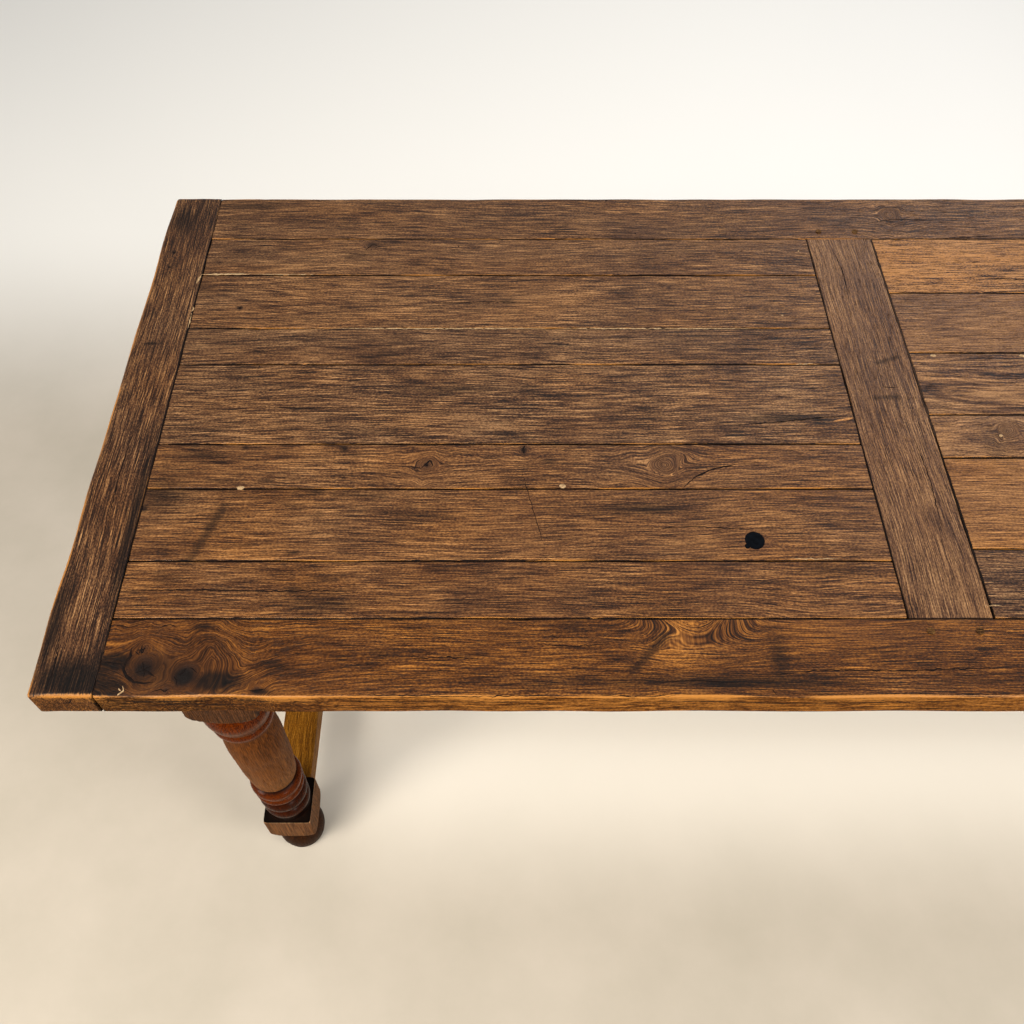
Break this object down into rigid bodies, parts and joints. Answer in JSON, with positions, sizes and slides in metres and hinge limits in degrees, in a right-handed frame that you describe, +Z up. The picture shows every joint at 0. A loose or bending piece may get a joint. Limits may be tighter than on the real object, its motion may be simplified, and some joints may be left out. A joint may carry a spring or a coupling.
{
  "type": "farmhouse dining table",
  "caption": "Long oak dining table: a framed plank top with clamped ends on turned legs, joined by aprons and an H-shaped floor stretcher.",
  "frame": {"origin": "on the floor, under the middle of the top", "axes": "+X along the table to the right as seen from the front, +Y from the front edge to the back edge, +Z up"},
  "size_m": [2, 0.827, 0.76],
  "materials": {
    "top_oak": "dark stained and waxed old oak boards, satin, worn to gold on the arrises",
    "turned_oak": "red-brown polished turnings with dull grey-brown flats",
    "apron_oak": "stained and waxed oak",
    "stretcher_oak": "golden-brown waxed oak, rubbed by feet",
    "under_oak": "unfinished, darkened oak",
    "peg_oak": "dark end grain of riven oak pegs"
  },
  "bodies": {
    "root": {"end_board_left": "top_oak", "end_board_right": "top_oak", "front_rail": "top_oak", "back_rail": "top_oak", "cross_rail": "top_oak", "left_plank_1": "top_oak", "left_plank_2": "top_oak", "left_plank_3": "top_oak", "left_plank_4": "top_oak", "left_plank_5": "top_oak", "left_plank_6": "top_oak", "left_plank_7": "top_oak", "right_plank_1": "top_oak", "right_plank_2": "top_oak", "right_plank_3": "top_oak", "right_plank_4": "top_oak", "right_plank_5": "top_oak", "right_plank_6": "top_oak", "leg_front_left": "turned_oak", "leg_front_right": "turned_oak", "leg_back_left": "turned_oak", "leg_back_right": "turned_oak", "apron_front": "apron_oak", "apron_back": "apron_oak", "apron_left": "apron_oak", "apron_right": "apron_oak", "end_stretcher_left": "stretcher_oak", "end_stretcher_right": "stretcher_oak", "centre_stretcher": "stretcher_oak", "bearer_left": "under_oak", "bearer_middle": "under_oak", "bearer_right": "under_oak", "top_buttons": "under_oak", "corner_joint_pegs": "peg_oak", "cross_rail_pegs": "peg_oak", "apron_pegs": "peg_oak", "stretcher_pegs": "peg_oak"}
  },
  "joints": []
}
